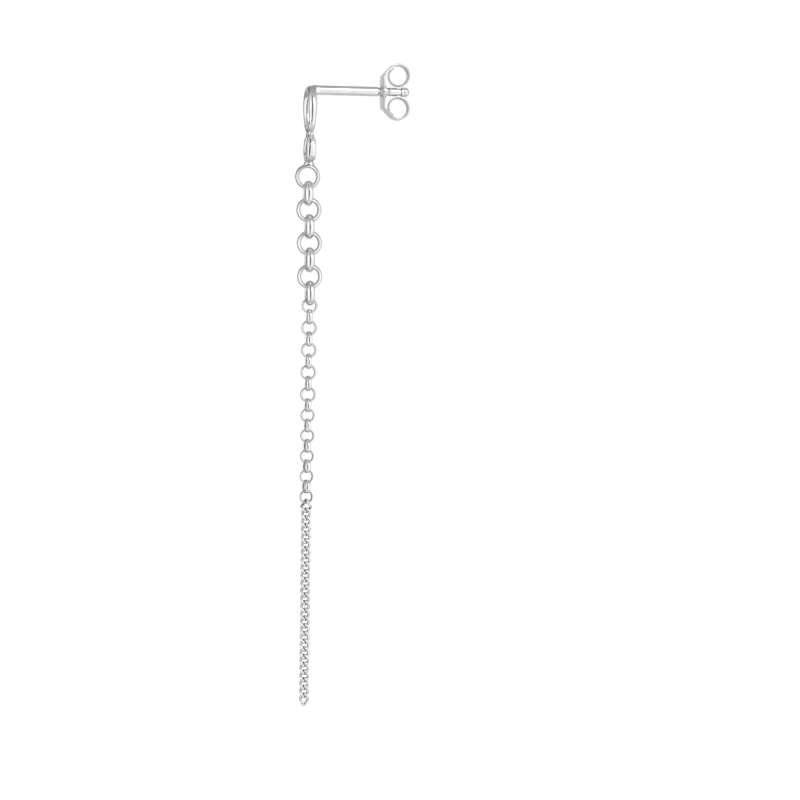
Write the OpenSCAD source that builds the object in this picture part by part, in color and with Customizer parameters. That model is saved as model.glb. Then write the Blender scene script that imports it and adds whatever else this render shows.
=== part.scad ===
// A drop earring of graduated chain. Two upright loops, one over the other, are soldered
// to the front end of a straight ear post, and the first link of the chain is soldered
// under them. The chain goes from large round links to small ones and ends in a fine curb
// chain. A scroll clutch slides on the post and holds it behind the ear lobe.
// The origin is on the post's axis, where it leaves the back of the loops. The post runs
// along +Y, the front of the earring faces -Y, and the chain hangs along -Z.

/* [Ear post] */
// Diameter of the ear post
post_d = 0.94; // [0.8:0.01:1]
// Length of the post's plain stretch behind the loops
post_plain = 6.5; // [6:0.05:6.6]
// Distance from the back of the loops to the post's tip
post_reach = 9.7; // [9.5:0.05:11]
// Smallest diameter of the groove that the clutch grips
groove_d = 0.78; // [0.6:0.01:0.8]

/* [Loops] */
// Height of the loops' top over the post's axis
loops_top = 0.47; // [0.43:0.01:0.6]
// Outside width of the upper loop
upper_w = 4.15; // [3.8:0.05:5.4]
// Height of the upper loop, from its top down to the waist between the loops
upper_h = 4.85; // [4.6:0.05:5]
// Outside width of the lower loop
lower_w = 2.95; // [2.7:0.05:4]
// Height of the lower loop, from the waist down to its bottom
lower_h = 2.78; // [2.7:0.02:2.9]
// Thickness of the upper loop's wire, front to back
upper_wire = 0.88; // [0.8:0.01:0.92]
// Thickness of the lower loop's wire, front to back
lower_wire = 0.94; // [0.86:0.01:0.98]
// Thickness of the wire where the loops meet
waist_wire = 0.58; // [0.52:0.01:0.64]

/* [Round links] */
// Number of large links under the soldered one
large_count = 7; // [3:2:7]
// Number of medium links
medium_count = 9; // [3:2:9]
// Number of small links
small_count = 10; // [4:2:10]
// Outside diameter of a large link
large_d = 2.53; // [2.5:0.01:2.6]
// Width of a large link's wire
large_wire = 0.8; // [0.6:0.01:0.82]
// Drop from one large link to the next
large_pitch = 1.662; // [1.6:0.002:1.67]
// Outside diameter of a medium link
medium_d = 1.58; // [1.56:0.01:1.64]
// Width of a medium link's wire
medium_wire = 0.5; // [0.4:0.01:0.52]
// Drop from one medium link to the next
medium_pitch = 1.111; // [1.08:0.001:1.12]
// Outside diameter of a small link
small_d = 1.43; // [1.42:0.01:1.48]
// Width of a small link's wire
small_wire = 0.48; // [0.4:0.01:0.5]
// Drop from one small link to the next
small_pitch = 1.017; // [1:0.001:1.03]

/* [Curb chain] */
// Number of curb links
curb_count = 26; // [8:1:26]
// Drop from one curb link to the next
curb_pitch = 0.772; // [0.76:0.002:0.78]
// Thickness of the curb links' wire
curb_wire = 0.2; // [0.16:0.01:0.21]
// Outside length of a curb link
curb_l = 1.3; // [1.28:0.01:1.32]
// Outside width of a curb link before it is twisted
curb_w = 0.94; // [0.92:0.01:0.98]
// Twist of a curb link from its middle to its ends, in degrees
curb_twist = 52; // [48:1:56]

/* [Clutch] */
// Thickness of the clutch's sheet
sheet = 0.21; // [0.18:0.01:0.24]
// Distance from the back of the loops to the front of the clutch's plate
clutch_y = 6.88; // [6.84:0.02:7]
// Width of the clutch's plate
plate_w = 2.1; // [1.9:0.05:2.4]
// Radius of the rolls, to the middle of the sheet
roll_r = 1.06; // [1:0.01:1.08]
// Gap between the post and the clutch that slides on it
slide_gap = 0.025; // [0.02:0.005:0.04]

/* [Hidden] */

silver = [0.83, 0.83, 0.85];
post_r = post_d / 2;
link_gap = 0.05;
link_fn = 96;

// Loops: centre of the wire front to back, and heights of its centre line
loops_y = -0.38;
upper_top_z = loops_top - upper_wire / 2;
waist_z = loops_top - upper_h;
lower_bottom_z = waist_z - lower_h + lower_wire * 0.85 / 2;
// The lower loop's wire is filed square to this share at its bottom
lower_square = 0.5;

// Round links: inside radii leave a small gap where two links hang in each other
large_inner = (large_pitch + link_gap) / 2;
medium_inner = (medium_pitch + link_gap) / 2;
small_inner = (small_pitch + link_gap) / 2;
first_link_drop = 8.68;
large_to_medium = 1.26;
medium_to_small = medium_inner + small_inner - link_gap;
round_count = large_count + medium_count + small_count;

// The chain's turn about the vertical at the top, and how much more it has at the bottom
turn_top = -2;
turn_gain = 16;

// Where the hanging chain runs: [drop below the post's axis, distance in front of the origin]
chain_path = [[8, 0.6], [13, 0.37], [20, 0.25], [40, 0.42], [62, 0.48]];

// Curb links: half lengths of the wire's centre line, and the first link's drop
curb_a = (curb_l - curb_wire) / 2;
curb_b = (curb_w - curb_wire) / 2;
curb_turn = -5;
curb_first_gap = 0.14;
// The first curb link is larger: it passes round the last round link's wide wire
first_a = 0.6;
first_b = 0.46;
first_top_turn = -70;
first_top_at = 0.85;
first_low_at = 0.35;
curb_turns = [[0, curb_turn + curb_twist], [2 * curb_a, curb_turn - curb_twist]];
first_turns = [[0, curb_turn + curb_twist], [first_low_at, lookup(first_low_at, curb_turns)],
    [first_top_at, first_top_turn]];
curb_stations = 16;
curb_sides = 6;

// Clutch: the rolls rest beside the post, and each strip leaves the plate at 45 degrees
plate_mid = clutch_y + sheet / 2;
roll_y = clutch_y + 1.66;
roll_z = post_r + slide_gap + sheet / 2 + roll_r;
bend_r = 0.45;
bend_z = roll_z - roll_y + sqrt(2) * roll_r + plate_mid - (sqrt(2) - 1) * bend_r;
// Each strip's end curls in past the post: its turn in degrees, and the radius at its tip
curl_turn = 146;
curl_tip_r = 0.78;
clutch_hole_r = post_r + slide_gap;
// Width and thickness of the clutch's strip, which thins out to the curl's end:
// [station from the plate's middle, share of the plate's width or of the sheet]
strip_width = [[0, 1], [2, 0.98], [5, 0.86], [9, 0.72], [14, 0.55], [24, 0.4], [34, 0.2]];
strip_sheet = [[0, 1], [22, 1], [34, 0.5]];

// Triangles of a tube: n rings of m points, closed on itself or ended by two caps
function tube_faces(n, m, closed) = concat(
    [for (i = [0:closed ? n - 1 : n - 2], j = [0:m - 1], half = [0, 1])
        let (a = i * m, b = (i + 1) % n * m, next = (j + 1) % m)
        half == 0 ? [a + j, a + next, b + next] : [a + j, b + next, b + j]],
    closed ? [] : [[for (j = [m - 1:-1:0]) j], [for (j = [0:m - 1]) (n - 1) * m + j]]
);

// Outline of a loop seen from the front, as shares of its half width, from top to bottom.
// A larger foot draws the loop out to a narrower bottom.
function loop_peak(foot) = pow(0.5 / (0.5 + foot), 0.5) * pow(foot / (0.5 + foot), foot);
function loop_share(turn, foot) =
    sign(cos(turn / 2)) * sin(turn / 2) * pow(abs(cos(turn / 2)), 2 * foot) / loop_peak(foot);

// Points of a wire round centre p in the loops' plane, with direction d, half
// thicknesses across and along Y. Its section is an ellipse where square is 0, and
// fills the ellipse's corners as square grows.
function fill(s, square) = sign(s) * pow(abs(s), 1 - square);
function wire_ring(p, d, across, along, square, sides) = [
    for (j = [0:sides - 1])
        let (a = 360 * (j + 0.5) / sides, n = [-d[1], d[0]] / norm(d),
             off = across * fill(cos(a), square))
        [p[0] + n[0] * off, loops_y + along * fill(sin(a), square), p[1] + n[1] * off]
];

// Upper loop: the wire's centre line on one side, and its half thickness
function upper_point(turn) =
    let (low = pow(sin(turn / 2), 2), half = (upper_w - upper_wire) / 2)
    [half * loop_share(turn, 0.75) + waist_wire * 0.56 * low * low,
     upper_top_z - (upper_top_z - waist_z) * low];
function upper_half(turn) = (upper_wire + (waist_wire - upper_wire) * pow(sin(turn / 2), 4)) / 2;

// Lower loop: a closed centre line that starts at the waist
function lower_point(turn) =
    let (low = pow(sin(turn / 2), 2), half = (lower_w - lower_wire) / 2)
    [half * loop_share(turn, 0.28), waist_z - (waist_z - lower_bottom_z) * low];
function lower_half(turn) = (lower_wire - (lower_wire - waist_wire) * pow(cos(turn / 2), 8)) / 2;

module upper_loop_side() {
    stations = 22;
    sides = 12;
    last_turn = 172;
    step = 0.01;
    points = [for (i = [0:stations - 1])
        let (turn = last_turn * i / (stations - 1), p = upper_point(turn),
             d = i == 0 ? [1, 0] : upper_point(turn + step) - upper_point(turn - step))
        each wire_ring(p, d, upper_half(turn) * 0.92, upper_half(turn), 0, sides)];
    polyhedron(points = points, faces = tube_faces(stations, sides, false), convexity = 4);
}

module lower_loop() {
    stations = 36;
    sides = 12;
    step = 0.01;
    points = [for (i = [0:stations - 1])
        let (turn = 360 * i / stations, p = lower_point(turn),
             d = lower_point(turn + step) - lower_point(turn - step),
             square = lower_square * pow(sin(turn / 2), 8))
        each wire_ring(p, d, lower_half(turn) * 0.85, lower_half(turn), square, sides)];
    polyhedron(points = points, faces = tube_faces(stations, sides, true), convexity = 4);
}

// The two loops, with the solder that closes the waist between them
module loops() {
    waist_ball = 0.33;
    upper_loop_side();
    mirror([1, 0, 0]) upper_loop_side();
    lower_loop();
    translate([0, loops_y, waist_z]) sphere(r = waist_ball, $fn = 48);
}

// Straight post with a solder fillet at its root, a groove for the clutch and a rounded tip
module post() {
    root = -0.3;
    fillet_l = 0.6;
    fillet_grow = 0.08;
    fillet_y = 0.1;
    shoulder = 0.08;
    bulb_half = 0.46;
    bulb_y = post_reach - bulb_half;
    groove_r = groove_d / 2;
    bulb_start = 128;
    rotate([-90, 0, 0]) rotate_extrude($fn = link_fn) polygon(concat(
        [[0, root], [post_r - 0.1, root], [post_r + fillet_grow, fillet_y],
         [post_r + fillet_grow / 2, fillet_l / 2], [post_r, fillet_l], [post_r, post_plain],
         [groove_r + 0.03, post_plain + shoulder], [groove_r, (post_plain + bulb_y) / 2]],
        [for (a = [bulb_start:-bulb_start / 10:0.01]) [post_r * sin(a), bulb_y + bulb_half * cos(a)]],
        [[0, post_reach]]
    ));
}

// One round link about Z: its wire is half round, domed outside and slightly bellied inside
module round_link(inner_r, outer_r, width) {
    belly_r = inner_r * 0.82;
    fall = belly_r - sqrt(belly_r * belly_r - width * width / 4);
    rise = outer_r - inner_r - fall;
    dome_r = (width * width / 4 + rise * rise) / (2 * rise);
    rotate_extrude($fn = link_fn) intersection() {
        translate([inner_r + belly_r, 0]) circle(r = belly_r, $fn = 2 * link_fn);
        translate([outer_r - dome_r, 0]) circle(r = dome_r, $fn = 2 * link_fn);
    }
}

// Drop of round link number k below the post's axis, counted from the soldered one
function medium_start() = first_link_drop + large_count * large_pitch + large_to_medium;
function small_start() =
    medium_start() + (medium_count - 1) * medium_pitch + medium_to_small;
function link_drop(k) =
    k <= large_count ? first_link_drop + k * large_pitch
    : k <= large_count + medium_count ? medium_start() + (k - large_count - 1) * medium_pitch
    : small_start() + (k - large_count - medium_count - 1) * small_pitch;
function link_turn(k) = turn_top + turn_gain * pow(k / round_count, 4);

// Hangs a link at its place: even ones face sideways, odd ones face front
module hang_link(k) {
    drop = link_drop(k);
    face = k % 2 == 0 ? 0 : 90;
    translate([0, -lookup(drop, chain_path), -drop])
        rotate([0, 0, face + link_turn(k)]) rotate([0, 90, 0]) children();
}

module large_link(k) {
    color(silver) hang_link(k) round_link(large_inner, large_d / 2, large_wire);
}

module medium_link(k) {
    color(silver) hang_link(large_count + k)
        round_link(medium_inner, medium_d / 2, medium_wire);
}

module small_link(k) {
    color(silver) hang_link(large_count + medium_count + k)
        round_link(small_inner, small_d / 2, small_wire);
}

// Loops, post and the first chain link, soldered together
module ear_stud() {
    collar_r = 0.5;
    collar_sink = 0.3;
    link_top_z = -first_link_drop + large_d / 2;
    collar_z = link_top_z - collar_sink;
    color(silver) union() {
        loops();
        post();
        translate([0, loops_y - 0.07, collar_z])
            cylinder(h = lower_bottom_z - collar_z, r = collar_r, $fn = link_fn);
        large_link(0);
    }
}

// Centre line of a curb link: an oval whose flat turns on the way from end to end
function curb_point(t, first) =
    let (a = first ? first_a : curb_a,
         b = first ? first_b : curb_b,
         z = a * cos(t),
         u = b * sign(sin(t)) * pow(abs(sin(t)), 0.85),
         turn = lookup(z + a, first ? first_turns : curb_turns))
    [-u * sin(turn), u * cos(turn), z];

// Rings of a curb link's wire: each is square to the wire and starts on its outer side
function curb_ring(t, first) =
    let (step = 0.5, p = curb_point(t, first),
         dir = curb_point(t + step, first) - curb_point(t - step, first), d = dir / norm(dir),
         flat = p - d * (p * d), n = flat / norm(flat), b = cross(d, n))
    [for (j = [0:curb_sides - 1])
        let (a = 360 * j / curb_sides)
        p + curb_wire / 2 * (n * cos(a) - b * sin(a))];

module curb_chain() {
    last_drop = link_drop(round_count);
    first_drop = last_drop + small_inner - curb_first_gap + first_a - curb_wire / 2;
    color(silver) for (k = [0:curb_count - 1]) {
        drop = first_drop + k * curb_pitch + (k == 0 ? 0 : first_a - curb_a);
        points = [for (i = [0:curb_stations - 1])
            each curb_ring(360 * (i + 0.5) / curb_stations, k == 0)];
        translate([0, -lookup(drop, chain_path), -drop])
            polyhedron(points = points, faces = tube_faces(curb_stations, curb_sides, true),
                convexity = 4);
    }
}

// Centre line of the clutch's strip in [y, z], from the plate's middle to the curl's end
function strip_path() = concat(
    [for (z = [0:bend_z / 4:bend_z - 0.01]) [plate_mid, z]],
    [for (a = [180:-9:135]) [plate_mid + bend_r + bend_r * cos(a), bend_z + bend_r * sin(a)]],
    [for (a = [135:-15:-89]) [roll_y + roll_r * cos(a), roll_z + roll_r * sin(a)]],
    [for (part = [0:1 / 9:1.001])
        let (a = -90 - curl_turn * part, r = roll_r - (roll_r - curl_tip_r) * pow(part, 2))
        [roll_y + r * cos(a), roll_z + r * sin(a)]]
);

// Strip from the lower curl's end over the plate to the upper curl's end
module strip() {
    upper = strip_path();
    last = len(upper) - 1;
    line = concat([for (i = [last:-1:1]) [upper[i][0], -upper[i][1]]], upper);
    points = [for (i = [0:2 * last])
        let (p = line[i], way = line[min(i + 1, 2 * last)] - line[max(i - 1, 0)],
             station = abs(i - last), w = plate_w / 2 * lookup(station, strip_width),
             n = [-way[1], way[0]] / norm(way) * sheet / 2 * lookup(station, strip_sheet))
        each [[-w, p[0] + n[0], p[1] + n[1]], [-w, p[0] - n[0], p[1] - n[1]],
              [w, p[0] - n[0], p[1] - n[1]], [w, p[0] + n[0], p[1] + n[1]]]];
    polyhedron(points = points, faces = tube_faces(2 * last + 1, 4, false), convexity = 8);
}

// Scroll clutch: a plate with a drawn hole, and a roll over and under the post
module clutch() {
    dish_r = 0.72;
    dish_depth = 0.14;
    collar_r = 0.68;
    collar_l = 0.2;
    back = clutch_y + sheet;
    color(silver) difference() {
        union() {
            strip();
            translate([0, back - 0.02, 0]) rotate([-90, 0, 0])
                cylinder(h = collar_l + 0.02, r = collar_r, $fn = link_fn);
        }
        translate([0, clutch_y - 0.02, 0]) rotate([-90, 0, 0])
            cylinder(h = dish_depth + 0.02, r1 = dish_r, r2 = clutch_hole_r, $fn = link_fn);
        translate([0, clutch_y - 0.5, 0]) rotate([-90, 0, 0])
            cylinder(h = sheet + collar_l + 1, r = clutch_hole_r, $fn = link_fn);
    }
}

ear_stud();
clutch();
for (k = [1:large_count])
    large_link(k);
for (k = [1:medium_count])
    medium_link(k);
for (k = [1:small_count])
    small_link(k);
curb_chain();
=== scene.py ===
import math

import bpy
import numpy as np
from mathutils import Matrix, Vector, noise


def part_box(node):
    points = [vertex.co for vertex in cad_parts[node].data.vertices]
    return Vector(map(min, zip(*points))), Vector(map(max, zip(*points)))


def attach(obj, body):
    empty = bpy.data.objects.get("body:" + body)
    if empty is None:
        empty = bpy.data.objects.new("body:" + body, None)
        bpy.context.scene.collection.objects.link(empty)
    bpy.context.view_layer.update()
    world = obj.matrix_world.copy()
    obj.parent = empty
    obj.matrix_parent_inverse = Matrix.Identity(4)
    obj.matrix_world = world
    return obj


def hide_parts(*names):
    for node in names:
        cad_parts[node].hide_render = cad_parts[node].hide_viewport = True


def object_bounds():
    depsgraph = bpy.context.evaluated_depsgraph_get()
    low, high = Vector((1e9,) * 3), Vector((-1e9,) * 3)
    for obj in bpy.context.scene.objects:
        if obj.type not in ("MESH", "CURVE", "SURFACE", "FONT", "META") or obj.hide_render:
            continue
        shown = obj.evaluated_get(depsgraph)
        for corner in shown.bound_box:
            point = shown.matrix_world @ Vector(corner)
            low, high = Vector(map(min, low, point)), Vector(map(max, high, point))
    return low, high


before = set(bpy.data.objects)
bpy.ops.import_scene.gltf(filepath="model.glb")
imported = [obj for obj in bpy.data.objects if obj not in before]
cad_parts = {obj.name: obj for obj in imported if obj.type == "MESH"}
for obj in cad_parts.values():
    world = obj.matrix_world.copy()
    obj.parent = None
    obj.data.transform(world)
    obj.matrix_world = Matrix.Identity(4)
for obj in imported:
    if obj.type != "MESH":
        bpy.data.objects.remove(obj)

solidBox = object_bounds()
chainBody = "stud_and_chain"
clutchBody = "clutch"
millimetre = 0.001          # pieces are drawn in millimetres, the scene is in metres
fullTurn = 2 * math.pi
nodeNames = list(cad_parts)


def nodesNamed(start):
    count = sum(name.startswith(start) for name in nodeNames)
    return [f"{start}{k + 1}" for k in range(count)]


def boxOf(name):
    low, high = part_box(name)
    return Vector(low) / millimetre, Vector(high) / millimetre


def addObject(name, data):
    thing = bpy.data.objects.new(name, data)
    bpy.context.scene.collection.objects.link(thing)
    return thing


# Camera, from where the photograph was taken

photograph = {
    "azimuth": 79,            # degrees round from the front
    "distance": 350,          # mm
    "frameWidth": 80,         # mm across the picture at the earring
    "pixels": 800,
    "origin": (314, 90),      # pixel where the post leaves the loops
    "roll": 0.5,              # the picture hangs this many degrees clockwise
    "sensor": 36,
    "clipStart": 10,
}


def placeCamera():
    azimuth = math.radians(photograph["azimuth"])
    roll = math.radians(photograph["roll"])
    level = Vector((math.cos(azimuth), math.sin(azimuth), 0))
    look = Vector((-math.sin(azimuth), math.cos(azimuth), 0))
    upright = Vector((0, 0, 1))
    right = level * math.cos(roll) + upright * math.sin(roll)
    up = upright * math.cos(roll) - level * math.sin(roll)
    scale = photograph["frameWidth"] / photograph["pixels"]
    across = (photograph["pixels"] / 2 - photograph["origin"][0]) * scale
    down = (photograph["pixels"] / 2 - photograph["origin"][1]) * scale
    middle = right * across - up * down
    data = bpy.data.cameras.new("photoCamera")
    data.sensor_width = photograph["sensor"]
    data.lens = photograph["distance"] * photograph["sensor"] / photograph["frameWidth"]
    data.clip_start = photograph["clipStart"] * millimetre
    camera = addObject("photoCamera", data)
    turn = Matrix((right, up, -look)).transposed().to_4x4()
    place = (middle - look * photograph["distance"]) * millimetre
    camera.matrix_world = Matrix.Translation(place) @ turn
    bpy.context.scene.camera = camera


placeCamera()
print("camera placed")


# Node helpers

def linkInto(tree, socket, value):
    if isinstance(value, bpy.types.NodeSocket):
        tree.links.new(value, socket)
    else:
        socket.default_value = value


def setInputs(tree, node, values):
    for key, value in values.items():
        linkInto(tree, node.inputs[key], value)


def addNode(tree, kind, values=None, **settings):
    node = tree.nodes.new(kind)
    for name, value in settings.items():
        setattr(node, name, value)
    setInputs(tree, node, values or {})
    return node


def outputOf(tree, kind, values=None, result=0, **settings):
    return addNode(tree, kind, values, **settings).outputs[result]


def compute(tree, operation, *values):
    return outputOf(tree, "ShaderNodeMath", dict(enumerate(values)), operation=operation)


def multiply(tree, product, *others):
    for other in others:
        product = compute(tree, "MULTIPLY", product, other)
    return product


def mix(tree, share, low, high, kind="FLOAT"):
    # two numbers, or two colours where the kind is RGBA
    first, result = {"FLOAT": (2, 0), "RGBA": (6, 2)}[kind]
    values = {0: share, first: low, first + 1: high}
    return outputOf(tree, "ShaderNodeMix", values, result, data_type=kind)


def vectorMath(tree, operation, *values, result="Vector"):
    return outputOf(tree, "ShaderNodeVectorMath", dict(enumerate(values)), result, operation=operation)


def scaled(tree, place, scale):
    return outputOf(tree, "ShaderNodeMapping", {"Vector": place, "Scale": scale})


def noiseAt(tree, place, scale, detail, roughness=0.5):
    values = {"Vector": place, "Scale": scale, "Detail": detail, "Roughness": roughness}
    return outputOf(tree, "ShaderNodeTexNoise", values)


def remap(tree, value, fromLow, fromHigh, toLow, toHigh, smooth=True):
    values = {"Value": value, "From Min": fromLow, "From Max": fromHigh, "To Min": toLow, "To Max": toHigh}
    shape = "SMOOTHSTEP" if smooth else "LINEAR"
    return outputOf(tree, "ShaderNodeMapRange", values, "Result", interpolation_type=shape)


def ramp(tree, value, low, high, stops):
    # a curve through stops of (value, level), drawn as a strip of greys
    share = compute(tree, "DIVIDE", compute(tree, "SUBTRACT", value, low), high - low)
    node = addNode(tree, "ShaderNodeValToRGB", {0: share})
    strip = node.color_ramp
    strip.interpolation = "LINEAR"
    while len(strip.elements) < len(stops):
        strip.elements.new(0.5)
    for element, (at, level) in zip(strip.elements, stops):
        element.position = (at - low) / (high - low)
        element.color = (level, level, level, 1)
    return node.outputs[0]


# Light: a white tent round the earring, with a dark slit where the camera looks in

studio = {
    "tentLight": 1.1,
    # share of that light by height in degrees: pale table, white walls, grey ceiling
    "heights": ((-90, 0.55), (-66, 0.62), (-50, 0.98), (16, 1), (38, 0.66), (63, 0.46), (90, 0.4)),
    # share by degrees off the camera, left and right: grey behind, darker on the left
    "sides": ((-180, 0.62), (-154, 0.62), (-146, 0.4), (-100, 0.28), (-84, 1),
              (86, 1), (104, 0.6), (180, 0.6)),
    "sidesFade": (48, 82),     # heights between which the sides stop mattering
    "slitLight": 0.1,
    "slitSides": ((-22, 0), (-13, 1), (10, 1), (17, 0.16), (27, 0.12), (36, 0)),
    "slitHeights": ((-70, 0), (-58, 1), (48, 1), (62, 0)),
    "lampPower": 0.25, "lampSize": 0.16, "lampPlace": (0.3, 0.12, 0.2),     # watts and metres
    "floorGap": 18,            # mm of air under the chain
    "floorSize": 4000,
    "floorTone": 0.9, "floorRoughness": 0.9, "floorGloss": 0.1, "floorGlow": 0.6,
}


def makeTent():
    azimuth = math.radians(photograph["azimuth"])
    toCamera = (math.sin(azimuth), -math.cos(azimuth))
    world = bpy.data.worlds.new("studioTent")
    bpy.context.scene.world = world
    world.use_nodes = True
    tree = world.node_tree
    tree.nodes.clear()
    way = outputOf(tree, "ShaderNodeTexCoord", result="Generated")
    x, y, z = addNode(tree, "ShaderNodeSeparateXYZ", {0: way}).outputs
    toward = compute(tree, "ADD", multiply(tree, x, toCamera[0]), multiply(tree, y, toCamera[1]))
    side = compute(tree, "SUBTRACT", multiply(tree, y, toCamera[0]), multiply(tree, x, toCamera[1]))
    degrees = 180 / math.pi
    off = multiply(tree, compute(tree, "ARCTAN2", side, toward), degrees)
    height = multiply(tree, compute(tree, "ARCSINE", z), degrees)
    byHeight = ramp(tree, height, -90, 90, studio["heights"])
    bySide = ramp(tree, off, -180, 180, studio["sides"])
    fade = remap(tree, compute(tree, "ABSOLUTE", height), *studio["sidesFade"], 0, 1)
    bySide = mix(tree, fade, bySide, 1.0)
    slit = multiply(tree, ramp(tree, off, -180, 180, studio["slitSides"]),
                    ramp(tree, height, -90, 90, studio["slitHeights"]))
    level = multiply(tree, byHeight, bySide, studio["tentLight"])
    level = mix(tree, slit, level, studio["slitLight"])

    # the camera itself sees a white backdrop
    seen = outputOf(tree, "ShaderNodeLightPath", result="Is Camera Ray")
    strength = mix(tree, seen, level, 1.0)
    light = outputOf(tree, "ShaderNodeBackground", {"Color": (1, 1, 1, 1), "Strength": strength})
    addNode(tree, "ShaderNodeOutputWorld", {"Surface": light})


def hangLamp():
    data = bpy.data.lights.new("softLamp", "AREA")
    data.size = studio["lampSize"]
    data.energy = studio["lampPower"]
    lamp = addObject("softLamp", data)
    lamp.location = studio["lampPlace"]
    lamp.rotation_euler = lamp.location.to_track_quat("Z", "Y").to_euler()


def layFloor():
    height = solidBox[0][2] - studio["floorGap"] * millimetre
    half = studio["floorSize"] * millimetre / 2
    corners = [(-half, -half, height), (half, -half, height), (half, half, height), (-half, half, height)]
    mesh = bpy.data.meshes.new("floor")
    mesh.from_pydata(corners, [], [(0, 1, 2, 3)])
    floor = addObject("floor", mesh)
    material = bpy.data.materials.new("paleFloor")
    material.use_nodes = True
    tree = material.node_tree
    setInputs(tree, tree.nodes["Principled BSDF"], {
        "Base Color": (*(studio["floorTone"],) * 3, 1), "Roughness": studio["floorRoughness"],
        "Specular IOR Level": studio["floorGloss"],
        "Emission Color": (1, 1, 1, 1), "Emission Strength": studio["floorGlow"]})
    mesh.materials.append(material)
    floor.visible_glossy = False


makeTent()
hangLamp()
layFloor()
bpy.context.scene.view_settings.view_transform = "Standard"
print("studio set")


# Silver finishes

# grazing is the share of light that is kept where the surface turns away from the eye,
# and inside is a darker colour painted on inner sides, edges and creases as painted shade; these places are
# also rougher, being out of the polisher's reach
silverFinishes = {
    "polishedSilver": {
        "light": (0.915, 0.925, 0.945), "dark": (0.79, 0.8, 0.82), "grazing": 0.75,
        "inside": (0.49, 0.5, 0.515), "roughness": (0.05, 0.13), "cloudScale": 0.7,
        "rippleHeight": 0.006, "rippleScale": 1.1,
        "scratchHeight": 0.0006, "scratchScale": (22, 22, 3),
    },
    "chainSilver": {
        "light": (0.94, 0.945, 0.96), "dark": (0.815, 0.82, 0.835), "grazing": 0.87,
        "inside": (0.625, 0.63, 0.64), "roughness": (0.06, 0.15), "cloudScale": 0.9,
        "rippleHeight": 0.004, "rippleScale": 1.3,
        "scratchHeight": 0.0007, "scratchScale": (16, 16, 16),
    },
    "curbSilver": {
        "light": (0.97, 0.975, 0.985), "dark": (0.835, 0.84, 0.85), "grazing": 0.2,
        "inside": (0.2, 0.2, 0.21), "roughness": (0.16, 0.24), "cloudScale": 1.6,
        "rippleHeight": 0.003, "rippleScale": 3,
        "scratchHeight": 0.0006, "scratchScale": (30, 30, 30),
    },
    "sheetSilver": {
        "light": (0.83, 0.835, 0.85), "dark": (0.735, 0.74, 0.755), "grazing": 1.0,
        "inside": (0.7, 0.7, 0.71), "roughness": (0.16, 0.26), "cloudScale": 0.8,
        "rippleHeight": 0.002, "rippleScale": 0.8,
        "scratchHeight": 0.0006, "scratchScale": (14, 1.6, 1.6),
    },
}


silverGrain = {
    "cloud": (4, 0.6), "lines": (3, 0.7), "ripple": (1,), "solder": (2,),     # detail and its roughness
    "polishLevels": (0.3, 0.7), "toneLevels": (0.32, 0.72),     # levels of the cloud, from least to most
    "solderCore": 0.4,     # share of the radius that is all solder
    "insideRoughness": 0.2,
}


def makeSilver(name, solderSpots=()):
    finish = silverFinishes[name]
    material = bpy.data.materials.new(name)
    material.use_nodes = True
    tree = material.node_tree
    place = outputOf(tree, "ShaderNodeTexCoord", result="Object")
    inMm = scaled(tree, place, (1 / millimetre,) * 3)

    # cloudy change of polish and tone
    cloud = noiseAt(tree, inMm, finish["cloudScale"], *silverGrain["cloud"])
    roughness = remap(tree, cloud, *silverGrain["polishLevels"], *finish["roughness"])
    tone = remap(tree, cloud, *silverGrain["toneLevels"], 0, 1)
    colour = mix(tree, tone, (*finish["light"], 1), (*finish["dark"], 1), "RGBA")

    # fine lines of polishing, drawn out along the surface
    lineSpace = scaled(tree, inMm, finish["scratchScale"])
    lines = noiseAt(tree, lineSpace, 1.0, *silverGrain["lines"])
    ripple = noiseAt(tree, inMm, finish["rippleScale"], *silverGrain["ripple"])
    height = compute(tree, "ADD", multiply(tree, lines, finish["scratchHeight"]),
                     multiply(tree, ripple, finish["rippleHeight"]))

    # solder keeps a grainy, duller skin near each joint
    for spot in solderSpots:
        away = vectorMath(tree, "DISTANCE", inMm, spot["at"], result="Value")
        near = remap(tree, away, spot["radius"], spot["radius"] * silverGrain["solderCore"], 0, 1)
        grain = noiseAt(tree, inMm, spot["grain"], *silverGrain["solder"])
        height = compute(tree, "ADD", height, multiply(tree, grain, near, spot["height"]))
        roughness = compute(tree, "ADD", roughness, multiply(tree, near, spot["dull"]))

    # the inner sides of rings get a painted shade in their colour, and more roughness as they are out of the
    # polisher's reach
    inside = outputOf(tree, "ShaderNodeAttribute", result="Fac", attribute_name="inside")
    colour = mix(tree, inside, colour, (*finish["inside"], 1), "RGBA")
    roughness = compute(tree, "ADD", roughness, multiply(tree, inside, silverGrain["insideRoughness"]))
    bump = outputOf(tree, "ShaderNodeBump", {"Height": height, "Strength": 1.0, "Distance": millimetre})
    setInputs(tree, tree.nodes["Principled BSDF"], {
        "Metallic": 1.0, "Specular Tint": (*(finish["grazing"],) * 3, 1),
        "Base Color": colour, "Roughness": roughness, "Normal": bump})
    return material


# Mesh helpers: points come in millimetres

def meshPiece(name, points, faces):
    mesh = bpy.data.meshes.new(name)
    mesh.from_pydata([tuple(p) for p in points], [], faces)
    mesh.validate()
    return addObject(name, mesh)


def anglesRound(count):
    return [fullTurn * i / count for i in range(count)]


def tube(name, rings, closed):
    # rings of points become a closed tube, or one with a cap at each end
    count = len(rings)
    sides = len(rings[0])
    faces = []
    for i in range(count if closed else count - 1):
        a = i * sides
        b = (i + 1) % count * sides
        for j in range(sides):
            k = (j + 1) % sides
            faces.append((a + j, a + k, b + k, b + j))
    if not closed:
        faces.append(tuple(range(sides - 1, -1, -1)))
        faces.append(tuple(range((count - 1) * sides, count * sides)))
    return meshPiece(name, [p for ring in rings for p in ring], faces)


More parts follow.
